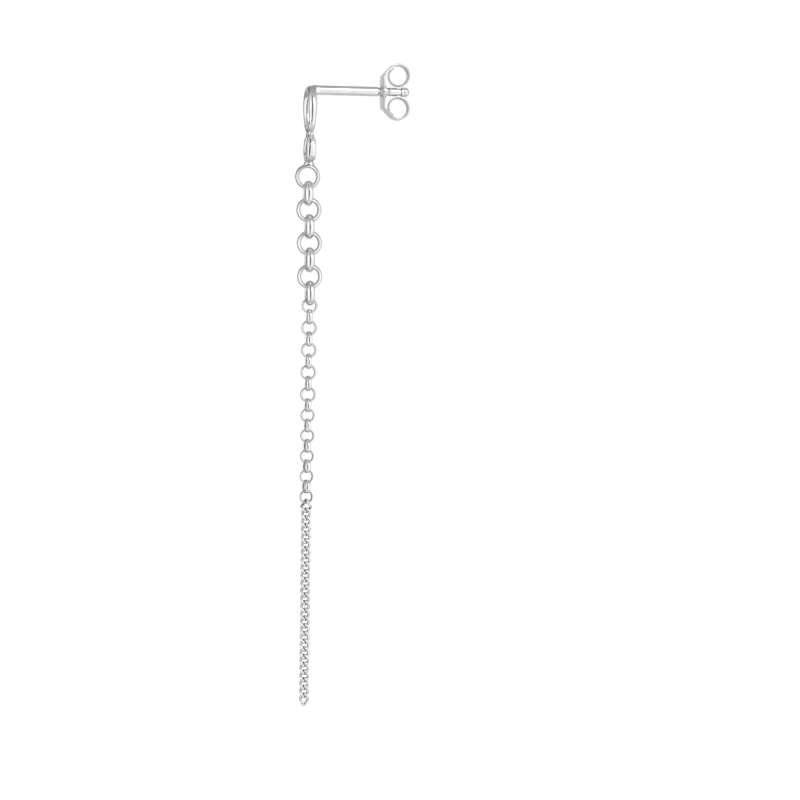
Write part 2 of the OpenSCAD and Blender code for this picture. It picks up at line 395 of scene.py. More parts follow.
def lathe(name, outline, sides):
    # an outline of (radius, y) is turned round the post's axis; its two ends lie on the axis
    points = [(0, outline[0][1], 0)]
    for radius, y in outline[1:-1]:
        for angle in anglesRound(sides):
            points.append((radius * math.cos(angle), y, radius * math.sin(angle)))
    points.append((0, outline[-1][1], 0))
    last = len(points) - 1
    rows = len(outline) - 2
    faces = []
    for j in range(sides):
        k = (j + 1) % sides
        faces.append((0, 1 + j, 1 + k))
        faces.append((last, last - sides + k, last - sides + j))
        for i in range(rows - 1):
            a = 1 + i * sides
            b = a + sides
            faces.append((a + j, b + j, b + k, a + k))
    return meshPiece(name, points, faces)


def ball(name, centre, radius, rings):
    outline = [(radius * math.sin(math.pi * i / rings), -radius * math.cos(math.pi * i / rings))
               for i in range(rings + 1)]
    piece = lathe(name, outline, 2 * rings)
    for corner in piece.data.vertices:
        corner.co += Vector(centre)
    return piece


def joinPieces(piece, others):
    bpy.ops.object.select_all(action="DESELECT")
    for other in [piece, *others]:
        other.select_set(True)
    bpy.context.view_layer.objects.active = piece
    bpy.ops.object.join()


def applyModifiers(piece):
    graph = bpy.context.evaluated_depsgraph_get()
    graph.update()
    result = bpy.data.meshes.new_from_object(piece.evaluated_get(graph))
    piece.modifiers.clear()
    old = piece.data
    piece.data = result
    bpy.data.meshes.remove(old)


def cutOrJoin(piece, tools, operation):
    for tool in tools:
        change = piece.modifiers.new("shape", "BOOLEAN")
        change.operation = operation
        change.solver = "MANIFOLD"
        change.object = tool
        applyModifiers(piece)
        bpy.data.objects.remove(tool)


def remesh(piece, size):
    change = piece.modifiers.new("grid", "REMESH")
    change.mode = "VOXEL"
    change.voxel_size = size
    applyModifiers(piece)


def softMin(a, b, reach):
    # the smaller of two fields, rounded off where they are nearly equal
    near = np.maximum(reach - abs(a - b), 0)
    return np.minimum(a, b) - near * near / (4 * reach)


def slopeOf(field, points):
    step = 1e-3
    slope = np.empty_like(points)
    for axis in range(3):
        shift = np.zeros(3)
        shift[axis] = step
        slope[:, axis] = (field(points + shift) - field(points - shift)) / (2 * step)
    return slope


def pointValues(piece, name):
    vertices = piece.data.vertices
    values = np.empty(3 * len(vertices), dtype=np.float32)
    vertices.foreach_get(name, values)
    return values.reshape(-1, 3)


def storeValues(piece, name, values):
    layer = piece.data.attributes.new(name, "FLOAT", "POINT")
    layer.data.foreach_set("value", np.array(values, dtype=np.float32))


def settle(piece, field, rounds, relief):
    # every point moves onto the surface where the field is 0, and by the relief off it
    points = pointValues(piece, "co").astype(float)
    leastSlope = 0.05
    for _ in range(rounds):
        slope = slopeOf(field, points)
        steep = np.maximum((slope * slope).sum(axis=1), leastSlope)
        points -= slope * (field(points) / steep)[:, None]
    slope = slopeOf(field, points)
    points += slope / np.linalg.norm(slope, axis=1)[:, None] * relief(points)[:, None]
    piece.data.vertices.foreach_set("co", points.astype(np.float32).ravel())
    piece.data.update()


def finishPiece(piece, material, body, replaced, crease=35):
    mesh = piece.data
    mesh.transform(Matrix.Scale(millimetre, 4))
    mesh.materials.clear()
    mesh.materials.append(material)
    mesh.shade_smooth()
    mesh.set_sharp_from_angle(angle=math.radians(crease))
    mesh.update()
    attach(piece, body)
    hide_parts(*replaced)
    print(piece.name, "made:", sum(len(face.vertices) - 2 for face in mesh.polygons), "triangles")


# Where the hanging chain runs

chainPath = {
    "drops": (8, 13, 20, 40, 62),                  # mm under the post's axis
    "fronts": (0.6, 0.37, 0.25, 0.42, 0.48),       # mm in front of the origin there
    "turnTop": -2,             # degrees that the links are turned about the vertical at the top
    "turnGain": 16,            # and how many more at the bottom
    "turnBend": 4,             # 1 spreads the turn evenly, more keeps it to the lower links
}


def chainFront(drop):
    return float(np.interp(drop, chainPath["drops"], chainPath["fronts"]))


# Loops, post and soldered link

loops = {
    "top": 0.47, "y": -0.38,
    "upperWidth": 4.15, "upperHeight": 4.85, "upperWire": 0.88, "upperFoot": 0.75, "upperThin": 0.88,
    "lowerWidth": 2.95, "lowerHeight": 2.78, "lowerWire": 0.94, "lowerFoot": 0.28, "lowerThin": 0.78,
    "lowerSquare": 0.5, "squareSpread": 1.5,    # how far the lower loop is filed square, most at its foot
    "lowerSunk": 0.85,                          # share of its wire that stays above its end
    "waistWire": 0.58, "waistOff": 0.56,        # the upper loop's wires pass the waist this share of it apart
    "upperTaper": 4, "lowerTaper": 8, "upperEnd": 172,
    "stations": 90, "sides": 24, "grid": 0.05, "settling": 4,
    "waistReach": 0.32, "waistSpread": 1.5,     # how far, and how high, solder draws the wires together
    "waistSink": 0.05, "sinkHeight": 0.7, "postReach": 0.3,
}
solder = {
    "ball": 0.14, "ballRings": 16, "relief": 0.028, "grain": 3.4, "waistLength": 1.5,
    "collarHalf": 0.49, "collarFoot": 0.56, "collarFront": 0.07, "collarUp": 0.12, "collarDown": 0.16,
    "collarRelief": 0.05, "collarGrain": 5.2, "collarRings": 32, "collarSides": 64,
    "groove": 0.12, "seamHalf": 0.06, "shadeBandDrop": 0.06,     # a dull groove runs round over the collar, with a band of painted shade along it
    "waistSpot": {"radius": 1.1, "grain": 5, "height": 0.025, "dull": 0.08},
    "collarSpot": {"radius": 0.75, "grain": 7, "height": 0.03, "dull": 0.1},
    "spotFront": 0.1, "spotDrop": 0.14,     # where the collar's spot has its middle
}
post = {
    "diameter": 0.94, "plain": 6.5, "reach": 9.7,
    "root": -0.35, "start": 0.1, "stubEnd": 0.7, "stubTaper": 0.08, "stubSides": 48,
    "swell": 0.05, "swellEnd": 0.65,
    "grooveRadius": 0.39, "grooveEnd": 7.6, "barrelRadius": 0.42, "barrelEnd": 8.44,
    "neckRadius": 0.35, "neckEnd": 8.84, "tipRadius": 0.46,
    "fineLines": (9.14, 9.37), "fineLineDepth": 0.02, "fineLineHalf": 0.035,
    "soft": 0.05, "sides": 72,
}
ringForm = {
    "belly": 0.82,        # inside curve's radius as a share of the ring's inner radius
    "corner": 1.25,       # 1 gives a round edge, 2 a knife edge
    "around": 28,
    "along": 132,
}

loopsY = loops["y"]
waistZ = loops["top"] - loops["upperHeight"]
upperTopZ = loops["top"] - loops["upperWire"] / 2
lowerEndZ = waistZ - loops["lowerHeight"]
lowerBottomZ = lowerEndZ + loops["lowerWire"] * loops["lowerSunk"] / 2


def loopShare(turn, foot):
    # half width of a loop between its top and bottom, as a share of the widest
    peak = (0.5 / (0.5 + foot)) ** 0.5 * (foot / (0.5 + foot)) ** foot
    cosine = math.cos(turn / 2)
    return math.copysign(1, cosine) * math.sin(turn / 2) * abs(cosine) ** (2 * foot) / peak


def upperPoint(turn):
    low = math.sin(turn / 2) ** 2
    half = (loops["upperWidth"] - loops["upperWire"]) / 2
    x = half * loopShare(turn, loops["upperFoot"]) + loops["waistWire"] * loops["waistOff"] * low * low
    return np.array((x, upperTopZ - (upperTopZ - waistZ) * low))


def upperHalf(turn):
    thinned = (loops["waistWire"] - loops["upperWire"]) * math.sin(turn / 2) ** loops["upperTaper"]
    return (loops["upperWire"] + thinned) / 2


def lowerPoint(turn):
    low = math.sin(turn / 2) ** 2
    half = (loops["lowerWidth"] - loops["lowerWire"]) / 2
    return np.array((half * loopShare(turn, loops["lowerFoot"]), waistZ - (waistZ - lowerBottomZ) * low))


def lowerHalf(turn):
    thinned = (loops["lowerWire"] - loops["waistWire"]) * math.cos(turn / 2) ** loops["lowerTaper"]
    return (loops["lowerWire"] - thinned) / 2


def upperSide(turn):
    x, z = upperPoint(abs(turn))
    return np.array((math.copysign(1, turn) * x, z))


def upperThick(turn):
    return upperHalf(abs(turn))


def wireRings(pointAt, halfAt, thin, turns):
    step = 1e-4
    rings = []
    for turn in turns:
        x, z = pointAt(turn)
        away = pointAt(turn + step) - pointAt(turn - step)
        away /= np.linalg.norm(away)
        across = halfAt(turn) * thin
        along = halfAt(turn)
        rings.append([(x - away[1] * across * math.cos(angle), loopsY + along * math.sin(angle),
                       z + away[0] * across * math.cos(angle)) for angle in anglesRound(loops["sides"])])
    return rings


def wireField(pointAt, halfAt, thin, square, turns):
    # how far points lie outside a wire that runs through these turns of a loop
    line = np.array([pointAt(turn) for turn in turns])
    along = np.array([halfAt(turn) for turn in turns])
    power = 2 / (1 - square * abs(np.sin(turns / 2)) ** loops["squareSpread"])
    way = np.diff(line, axis=0)
    length = (way * way).sum(axis=1)

    def field(points):
        flat = points[:, ::2]
        gaps = ((flat[:, None] - line) ** 2).sum(axis=2)
        near = np.minimum(gaps.argmin(axis=1), len(way) - 1)
        nearest = np.full(len(points), np.inf)
        outside = np.empty(len(points))
        for first in (np.maximum(near - 1, 0), near):
            share = np.clip(((flat - line[first]) * way[first]).sum(axis=1) / length[first], 0, 1)
            off = np.linalg.norm(flat - line[first] - way[first] * share[:, None], axis=1)
            half = along[first] * (1 - share) + along[first + 1] * share
            bent = power[first] * (1 - share) + power[first + 1] * share
            u = off / (half * thin)
            v = abs(points[:, 1] - loopsY) / half
            size = (u ** bent + v ** bent) ** (1 / bent)
            closer = off < nearest
            outside[closer] = ((size - 1) * half * (1 + thin) / 2)[closer]
            nearest[closer] = off[closer]
        return outside

    return field


def postSwell(y):
    share = np.clip(1 - y / post["swellEnd"], 0, 1)
    return post["swell"] * share * share


def postField(points):
    radius = post["diameter"] / 2
    y = points[:, 1]
    start = np.clip((y - post["root"]) / (post["start"] - post["root"]), 0, 1)
    end = np.clip((y - post["start"]) / (post["stubEnd"] - post["start"]), 0, 1)
    thick = radius * np.sqrt(1 - (1 - start) ** 2) + postSwell(y) * start - post["stubTaper"] * end
    ends = np.maximum(y - post["stubEnd"], post["root"] - y)
    return np.maximum(np.hypot(points[:, 0], points[:, 2]) - thick, ends)


def makeLoops():
    # two loops and the post's root grow together where they are soldered
    count = loops["stations"]
    middle = np.array((0, loopsY, waistZ))
    upper = (upperSide, upperThick, loops["upperThin"])
    lower = (lowerPoint, lowerHalf, loops["lowerThin"])
    end = math.radians(loops["upperEnd"])
    strands = []
    for side in (-1, 1):
        strands.append(wireField(*upper, 0, np.linspace(0, side * end, count)))
        turns = math.pi - side * np.linspace(0, math.pi, count)
        strands.append(wireField(*lower, loops["lowerSquare"], turns))

    def field(points):
        fromWaist = abs(points[:, 2] - waistZ)
        reach = loops["waistReach"] * np.clip(1 - fromWaist / loops["waistSpread"], 0.01, 1)
        value = np.linalg.norm(points - middle, axis=1) - solder["ball"]
        for strand in strands:
            value = softMin(value, strand(points), reach)
        sink = np.clip(1 - fromWaist / loops["sinkHeight"], 0, 1)
        value = value + loops["waistSink"] * sink * sink * (3 - 2 * sink)
        return softMin(value, postField(points), loops["postReach"])

    def relief(points):
        share = np.clip(1 - abs(points[:, 2] - waistZ) / solder["waistLength"], 0, 1)
        bumps = [noise.noise(Vector(place) * solder["grain"]) for place in points]
        return solder["relief"] * np.array(bumps) * np.minimum(2 * share, 1)

    piece = tube("loops", wireRings(*upper, np.linspace(-end, end, 2 * count)), False)
    foot = tube("lower", wireRings(*lower, np.linspace(0, fullTurn, 2 * count, endpoint=False)), True)
    radius = post["diameter"] / 2
    profile = [(0, post["root"]), (radius, 0), (radius, post["stubEnd"]), (0, post["stubEnd"])]
    stub = lathe("stub", profile, post["stubSides"])
    joinPieces(piece, [foot, stub, ball("ball", middle, solder["ball"], solder["ballRings"])])
    remesh(piece, loops["grid"])
    settle(piece, field, loops["settling"], relief)
    return piece


def arc(centre, radius, start, end, count):
    # points of an arc in (radius, y), with angles in degrees from the axis
    angles = np.radians(np.linspace(start, end, count))
    return [(centre[0] + radius * math.sin(a), centre[1] + radius * math.cos(a)) for a in angles]


def stepDown(high, low, y):
    soft = post["soft"]
    return (arc((high - soft, y - soft), soft, 90, 20, 5)
            + arc((low + soft, y + 2 * soft), soft, 200, 270, 5))


def stepUp(low, high, y, rise, start):
    soft = post["soft"]
    return (arc((low + soft, y - soft), soft, 270, 340, 5)
            + arc((high - soft, y + rise), soft, start, 90, 5))


def postOutline():
    # the plain post, then a groove, a barrel and a neck before the round tip
    radius = post["diameter"] / 2
    soft = post["soft"]
    tip = post["tipRadius"]
    groove, barrel, neck = post["grooveRadius"], post["barrelRadius"], post["neckRadius"]
    outline = [(0, post["start"]), (radius - soft, post["start"])]
    outline += [(radius + postSwell(y), y) for y in np.linspace(post["start"] + soft, post["swellEnd"], 10)]
    outline += [(radius, y) for y in np.linspace(post["swellEnd"] + soft, post["plain"] - 2 * soft, 12)]
    outline += stepDown(radius, groove, post["plain"])
    outline += stepUp(groove, barrel, post["grooveEnd"], soft, 160)
    outline += stepDown(barrel, neck, post["barrelEnd"])
    outline += stepUp(neck, radius, post["neckEnd"], 2 * soft, 150)
    for line in post["fineLines"]:
        half = post["fineLineHalf"]
        outline += [(radius, line - half), (radius - post["fineLineDepth"], line), (radius, line + half)]
    outline += arc((radius - tip, post["reach"] - tip), tip, 78, 4, 12)
    outline.append((0, post["reach"]))
    rising = [outline[0]]
    for r, y in outline[1:]:
        rising.append((max(r, 0), max(y, rising[-1][1])))
    return rising


def insideFall(inner, width):
    # how far the wire's edges stand off the top of its bellied inner side
    belly = ringForm["belly"] * inner
    return belly - math.sqrt(belly * belly - width * width / 4)


def ringSection(inner, outer, width):
    # one round link's wire: points of (radius, across), domed outside and bellied inside
    fall = insideFall(inner, width)
    rise = outer - inner - fall
    section = []
    for angle in anglesRound(ringForm["around"]):
        sine = math.sin(angle)
        swell = abs(sine) ** ringForm["corner"]
        radius = inner + fall + (rise * swell if sine > 0 else -fall * swell)
        section.append((radius, width / 2 * math.cos(angle)))
    return section


def solderedLink(centre, turn, inner, outer, width):
    section = ringSection(inner, outer, width)
    axis = Vector((math.cos(turn), math.sin(turn), 0))
    side = Vector((-math.sin(turn), math.cos(turn), 0))
    rings = []
    for angle in anglesRound(ringForm["along"]):
        outward = side * math.sin(angle) + Vector((0, 0, math.cos(angle)))
        rings.append([centre + outward * radius + axis * across for radius, across in section])
    return tube("solderedLink", rings, True)


# share of the shade inside each ring, and mm along the post where it ends
insideShade = {"upperLoop": 0.15, "lowerLoop": 1, "solderedLink": 0.25, "postFrom": 0.4}


def paintInsideShade(piece, middles):
    # stores how far each point faces the middle of its own ring, as painted shade on the inner sides
    points = pointValues(piece, "co")
    normals = pointValues(piece, "normal")
    heights = points[:, 2]
    ring = np.where(heights > waistZ, 0, np.where(heights > lowerEndZ, 1, 2))
    away = points - np.array(middles)[ring]
    size = np.maximum(np.linalg.norm(away, axis=1), 1e-6)
    inward = np.clip(-(normals * away).sum(axis=1) / size, 0, 1)
    inward *= np.array([insideShade[name] for name in ("upperLoop", "lowerLoop", "solderedLink")])[ring]
    inward[points[:, 1] > insideShade["postFrom"]] = 0
    # a band of painted shade along the groove over the collar, kept in the same attribute
    seam = np.exp(-((heights - lowerEndZ + solder["shadeBandDrop"]) / solder["seamHalf"]) ** 2)
    storeValues(piece, "inside", np.maximum(inward, seam))


def makeCollar(linkTop):
    # a lumpy cuff of solder between the lower loop and the first link
    top = lowerEndZ + solder["collarUp"]
    bottom = linkTop - solder["collarDown"]
    rings = []
    for z in np.linspace(bottom, top, solder["collarRings"]):
        share = (z - bottom) / (top - bottom)
        half = solder["collarFoot"] + (solder["collarHalf"] - solder["collarFoot"]) * min(2 * share, 1)
        half -= solder["groove"] * math.exp(-((z - lowerEndZ) / solder["seamHalf"]) ** 2)
        ring = []
        for angle in anglesRound(solder["collarSides"]):
            way = Vector((math.cos(angle), math.sin(angle), 0))
            place = way * half + Vector((0, loopsY - solder["collarFront"], z))
            bump = noise.noise(place * solder["collarGrain"])
            ring.append(place + way * solder["collarRelief"] * bump)
        rings.append(ring)
    return tube("collar", rings, False)


def makeStud(material):
    large = nodesNamed("large_link_")
    low, high = boxOf(large[0])
    below = (low + high) / 2
    nextLow, nextHigh = boxOf(large[1])
    pitch = below.z - (nextLow.z + nextHigh.z) / 2
    outer = (high.z - low.z) / 2
    drop = -below.z - pitch
    centre = Vector((0, -chainFront(drop), -drop))
    inner = (pitch + chain["gap"]) / 2
    turn = math.radians(chainPath["turnTop"])
    piece = makeLoops()
    link = solderedLink(centre, turn, inner, outer, chain["wires"]["large"])
    shaft = lathe("post", postOutline(), post["sides"])
    cutOrJoin(piece, [shaft, makeCollar(centre.z + outer), link], "UNION")
    upperMiddle = (0, loopsY, (loops["top"] + waistZ) / 2)
    lowerMiddle = (0, loopsY, (waistZ + lowerEndZ) / 2)
    paintInsideShade(piece, [upperMiddle, lowerMiddle, centre])
    piece.name = "earStud"
    finishPiece(piece, material, chainBody, ["ear_stud"], crease=50)


# Round links

chain = {
    "gap": 0.05,           # mm between two links that hang in each other
    "wires": {"large": 0.8, "medium": 0.5, "small": 0.48},
    "seamHeight": 0.035, "seamHalf": 0.1, "seamWiden": 0.6,
    "seamStray": 0.5,      # radians that a seam strays off the link's side
    "unevenness": 0.006, "unevenScale": 1.4,
}


def newShapeTree(name, numbers, others):
    tree = bpy.data.node_groups.new(name, "GeometryNodeTree")
    inputs = {"Geometry": "NodeSocketGeometry", **dict.fromkeys(numbers, "NodeSocketFloat"), **others}
    for label, kind in inputs.items():
        tree.interface.new_socket(label, in_out="INPUT", socket_type=kind)
    tree.interface.new_socket("Geometry", in_out="OUTPUT", socket_type="NodeSocketGeometry")
    return tree, tree.nodes.new("NodeGroupInput").outputs, tree.nodes.new("NodeGroupOutput").inputs


def applyTree(piece, tree, values):
    change = piece.modifiers.new("shape", "NODES")
    change.node_group = tree
    for item in tree.interface.items_tree:
        if item.in_out == "INPUT" and item.name in values:
            change[item.identifier] = values[item.name]
    applyModifiers(piece)


def storeOn(tree, geometry, name, value):
    values = {"Geometry": geometry, "Name": name, "Value": value}
    return outputOf(tree, "GeometryNodeStoreNamedAttribute", values)


def stored(tree, name):
    return outputOf(tree, "GeometryNodeInputNamedAttribute", {"Name": name})


def wayRound(tree):
    # from 0 at a curve's start to 1 at its end
    return outputOf(tree, "GeometryNodeSplineParameter", result="Factor")


def circle(tree, resolution, radius):
    values = {"Resolution": resolution, "Radius": radius}
    return outputOf(tree, "GeometryNodeCurvePrimitiveCircle", values)


def sweep(tree, curve, section):
    return outputOf(tree, "GeometryNodeCurveToMesh", {"Curve": curve, "Profile Curve": section})


def point(tree, x=0.0, y=0.0, z=0.0):
    return outputOf(tree, "ShaderNodeCombineXYZ", {0: x, 1: y, 2: z})


def setPosition(tree, geometry, **place):
    return outputOf(tree, "GeometryNodeSetPosition", {"Geometry": geometry, **place})


def realize(tree, instances):
    return outputOf(tree, "GeometryNodeRealizeInstances", {"Geometry": instances})


def setMaterial(tree, geometry, material):
    return outputOf(tree, "GeometryNodeSetMaterial", {"Geometry": geometry, "Material": material})


def makeLinkTree():
    numbers = ("Inner radius", "Outer radius", "Wire width", "Inside fall", "Corner", "Seam height",
               "Seam half angle", "Unevenness")
    others = {"Seed": "NodeSocketInt", "Material": "NodeSocketMaterial"}
    tree, given, result = newShapeTree("roundLinks", numbers, others)

    # a torus of any size, whose two ways round are kept as attributes
    along = storeOn(tree, circle(tree, ringForm["along"], 1.0), "along", wayRound(tree))
    around = storeOn(tree, circle(tree, ringForm["around"], 0.2), "around", wayRound(tree))
    torus = sweep(tree, along, around)

    # the wire's section, domed outside and slightly bellied inside
    alongAngle = multiply(tree, stored(tree, "along"), fullTurn)
    aroundAngle = multiply(tree, stored(tree, "around"), fullTurn)
    sine = compute(tree, "SINE", aroundAngle)
    inward = compute(tree, "MAXIMUM", multiply(tree, sine, -1.0), 0.0)
    outside = compute(tree, "POWER", compute(tree, "MAXIMUM", sine, 0.0), given["Corner"])
    inside = compute(tree, "POWER", inward, given["Corner"])
    fall = given["Inside fall"]
    edge = compute(tree, "ADD", given["Inner radius"], fall)
    rise = compute(tree, "SUBTRACT", given["Outer radius"], edge)
    dome = compute(tree, "SUBTRACT", multiply(tree, outside, rise), multiply(tree, inside, fall))
    radius = compute(tree, "ADD", edge, dome)
    across = multiply(tree, compute(tree, "COSINE", aroundAngle), multiply(tree, given["Wire width"], 0.5))

    # the wire is a little thicker where its ends are soldered
    fromSeam = compute(tree, "SUBTRACT", alongAngle, math.pi)
    fromSeam = compute(tree, "DIVIDE", fromSeam, given["Seam half angle"])
    seam = compute(tree, "EXPONENT", multiply(tree, fromSeam, fromSeam, -1.0))
    lump = multiply(tree, seam, given["Seam height"], outside)
    widen = compute(tree, "ADD", multiply(tree, lump, chain["seamWiden"]), 1.0)
    radius = compute(tree, "ADD", radius, multiply(tree, lump, rise))
    place = point(tree, multiply(tree, radius, compute(tree, "COSINE", alongAngle)),
                  multiply(tree, radius, compute(tree, "SINE", alongAngle)), multiply(tree, across, widen))
    # the wire's inner side is stored as inside, which the silver paints darker as painted shade
    ring = storeOn(tree, setPosition(tree, torus, Position=place), "inside", inward)

    # each point carries a link, turned about the vertical by its own angle
    facing = point(tree, 0.0, math.pi / 2, stored(tree, "turn"))
    rotation = outputOf(tree, "FunctionNodeEulerToRotation", {0: facing})
    links = outputOf(tree, "GeometryNodeInstanceOnPoints",
                     {"Points": given["Geometry"], "Instance": ring, "Rotation": rotation})

    # its seam lies on one side or the other
    spread = addNode(tree, "FunctionNodeRandomValue", {"Min": -1.0, "Max": 1.0, "Seed": given["Seed"]},
                     data_type="FLOAT")
    drawn = next(s for s in spread.outputs if s.enabled)
    spin = compute(tree, "ADD", multiply(tree, compute(tree, "SIGN", drawn), math.pi / 2),
                   multiply(tree, drawn, chain["seamStray"]))
    spinWay = outputOf(tree, "FunctionNodeEulerToRotation", {0: point(tree, z=spin)})
    spun = outputOf(tree, "GeometryNodeRotateInstances",
                    {"Instances": links, "Rotation": spinWay, "Local Space": True})

    # a hand-finished surface is never quite even
    uneven = outputOf(tree, "ShaderNodeTexNoise", {"Scale": chain["unevenScale"], "Detail": 1.0})
    lift = multiply(tree, compute(tree, "SUBTRACT", uneven, 0.5), given["Unevenness"])
    normal = outputOf(tree, "GeometryNodeInputNormal")
    push = outputOf(tree, "ShaderNodeVectorMath", {0: normal, "Scale": lift}, operation="SCALE")
    moved = setPosition(tree, realize(tree, spun), Offset=push)
    tree.links.new(setMaterial(tree, moved, given["Material"]), result[0])
    return tree


def linkTurn(place, count):
    face = math.pi / 2 if place % 2 else 0
    turned = chainPath["turnTop"] + chainPath["turnGain"] * (place / count) ** chainPath["turnBend"]
    return face + math.radians(turned)


def makeLinkRow(tree, kind, firstPlace, count, material):
    names = nodesNamed(f"{kind}_link_")
    boxes = [boxOf(name) for name in names]
    centres = [(low + high) / 2 for low, high in boxes]
    pitch = centres[0].z - centres[1].z
    outer = (boxes[0][1].z - boxes[0][0].z) / 2
    inner = (pitch + chain["gap"]) / 2
    width = chain["wires"][kind]
    row = meshPiece(f"{kind}Links", centres, [])
    storeValues(row, "turn", [linkTurn(firstPlace + k, count) for k in range(len(names))])
    applyTree(row, tree, {
        "Inner radius": inner, "Outer radius": outer, "Wire width": width,
        "Inside fall": insideFall(inner, width), "Corner": ringForm["corner"],
        "Seam height": chain["seamHeight"], "Seam half angle": chain["seamHalf"],
        "Unevenness": chain["unevenness"], "Seed": firstPlace, "Material": material})
    finishPiece(row, material, chainBody, names, crease=60)
    return firstPlace + len(names)


# Curb chain

curb = {
    "count": 26, "wire": 0.2, "drawnWire": 0.275, "length": 1.3, "width": 0.94, "twist": 52, "turn": -5,
    "firstLength": 1.4, "firstWidth": 1.12, "firstTopTurn": -70, "firstTopAt": 0.85, "firstLowAt": 0.35,
    "pointed": 0.95, "along": 56, "around": 14,
}


def makeCurbTree():
    numbers = ("Half length", "Half width", "Wire radius", "Low turn", "Middle turn", "Top turn",
               "Middle height", "Top height")
    tree, given, result = newShapeTree("curbLinks", numbers, {"Material": "NodeSocketMaterial"})
    oval = circle(tree, curb["along"], 1.0)
    angle = multiply(tree, wayRound(tree), fullTurn)
    sine = compute(tree, "SINE", angle)
    rise = multiply(tree, compute(tree, "COSINE", angle), given["Half length"])
    blunt = compute(tree, "POWER", compute(tree, "ABSOLUTE", sine), curb["pointed"])
    reach = multiply(tree, compute(tree, "SIGN", sine), blunt, given["Half width"])

    # the oval's flat turns on the way from its lower end to its upper end
    height = compute(tree, "ADD", rise, given["Half length"])
    middle = given["Middle height"]
    lower = remap(tree, height, 0.0, middle, given["Low turn"], given["Middle turn"], False)
    upper = remap(tree, height, middle, given["Top height"], given["Middle turn"], given["Top turn"], False)
    turn = mix(tree, compute(tree, "GREATER_THAN", height, middle), lower, upper)
    place = point(tree, multiply(tree, reach, compute(tree, "SINE", turn), -1.0),
                  multiply(tree, reach, compute(tree, "COSINE", turn)), rise)
    twisted = setPosition(tree, oval, Position=place)
    wire = sweep(tree, twisted, circle(tree, curb["around"], given["Wire radius"]))

    # the side of the wire that looks to the oval's middle gets the dark inside colour, a painted shade
    # between the strands
    outward = vectorMath(tree, "NORMALIZE", outputOf(tree, "GeometryNodeInputPosition"))
    normal = outputOf(tree, "GeometryNodeInputNormal")
    facing = vectorMath(tree, "DOT_PRODUCT", normal, outward, result="Value")
    wire = storeOn(tree, wire, "inside", multiply(tree, compute(tree, "MINIMUM", facing, 0.0), -1.0))
    values = {"Points": given["Geometry"], "Instance": wire}
    links = outputOf(tree, "GeometryNodeInstanceOnPoints", values)
    tree.links.new(setMaterial(tree, realize(tree, links), given["Material"]), result[0])
    return tree


def curbShape(half, width, turns, heights, material):
    low, middle, top = [math.radians(turn) for turn in turns]
    return {"Half length": half, "Half width": (width - curb["wire"]) / 2,
            "Wire radius": curb["drawnWire"] / 2, "Low turn": low, "Middle turn": middle, "Top turn": top,
            "Middle height": heights[0], "Top height": heights[1], "Material": material}


def makeCurbChain(material):
    tree = makeCurbTree()
    low, high = boxOf("curb_chain")
    firstZ = high.z - curb["firstLength"] / 2
    lastZ = low.z + curb["length"] / 2
    half = (curb["length"] - curb["wire"]) / 2
    firstHalf = (curb["firstLength"] - curb["wire"]) / 2
    pitch = (firstZ - lastZ - (firstHalf - half)) / (curb["count"] - 1)
    heights = [firstZ - k * pitch - (firstHalf - half) for k in range(1, curb["count"])]
    lowTurn = curb["turn"] + curb["twist"]
    topTurn = curb["turn"] - curb["twist"]

    chainPiece = meshPiece("curbChain", [(0, -chainFront(-z), z) for z in heights], [])
    turns = (lowTurn, curb["turn"], topTurn)
    applyTree(chainPiece, tree, curbShape(half, curb["width"], turns, (half, 2 * half), material))

    # the first link is larger, to pass round the last round link's wide wire
    lowAt = curb["firstLowAt"]
    atLow = lowTurn + (topTurn - lowTurn) * lowAt / (2 * half)
    firstLink = meshPiece("firstCurbLink", [(0, -chainFront(-firstZ), firstZ)], [])
    turns = (lowTurn, atLow, curb["firstTopTurn"])
    firstHeights = (lowAt, curb["firstTopAt"])
    applyTree(firstLink, tree, curbShape(firstHalf, curb["firstWidth"], turns, firstHeights, material))
    joinPieces(chainPiece, [firstLink])
    finishPiece(chainPiece, material, chainBody, ["curb_chain"], crease=60)


# Scroll clutch

clutch = {
    "sheet": 0.21, "rollRadius": 1.06, "slideGap": 0.025, "bendRadius": 0.45,
    "curlTurn": 146, "curlTip": 0.78, "rollBack": 1.66,
    "edge": 0.06, "edgeShare": 0.45,       # radius of the sheet's edges, at most this share of its thickness
    "innerShadeAndDull": 0.6, "edgeShadeAndDull": 1.0,     # painted shade and dullness on the bends' inner side, most on the cut edges
    "holeRadius": 0.495, "funnelRadius": 0.74, "funnelDepth": 0.16, "funnelSides": 96,
    "rimWiden": 0.05, "rimDepth": 0.04, "rimRise": 0.01, "cutClear": 0.5,
    "collarRadius": 0.68, "collarLength": 0.2, "collarSunk": 0.05, "collarSoft": 0.06, "collarSides": 72,
    # share of the plate's width and of the sheet, by mm along the strip from the plate's middle
    "widths": ((0, 1), (0.71, 0.98), (1.49, 0.86), (1.77, 0.72), (3.83, 0.55), (6.61, 0.4), (9.35, 0.2)),
    "sheets": ((0, 1), (6.05, 1), (9.35, 0.5)),
}


def stripPath(plateMid, rollY, rollZ):
    # centre line (y, z) from the plate's middle to the curl's tip
    radius = clutch["rollRadius"]
    bend = clutch["bendRadius"]
    bendZ = rollZ - rollY + math.sqrt(2) * radius + plateMid - (math.sqrt(2) - 1) * bend
    path = [(plateMid, z) for z in np.linspace(0, bendZ, 16)[:-1]]
    for a in np.radians(np.linspace(180, 135, 10)):
        path.append((plateMid + bend + bend * math.cos(a), bendZ + bend * math.sin(a)))
    for a in np.radians(np.linspace(135, -90, 56)[:-1]):
        path.append((rollY + radius * math.cos(a), rollZ + radius * math.sin(a)))
    for part in np.linspace(0, 1, 40):
        a = math.radians(-90 - clutch["curlTurn"] * part)
        inward = radius - (radius - clutch["curlTip"]) * part ** 2
        path.append((rollY + inward * math.cos(a), rollZ + inward * math.sin(a)))
    return path


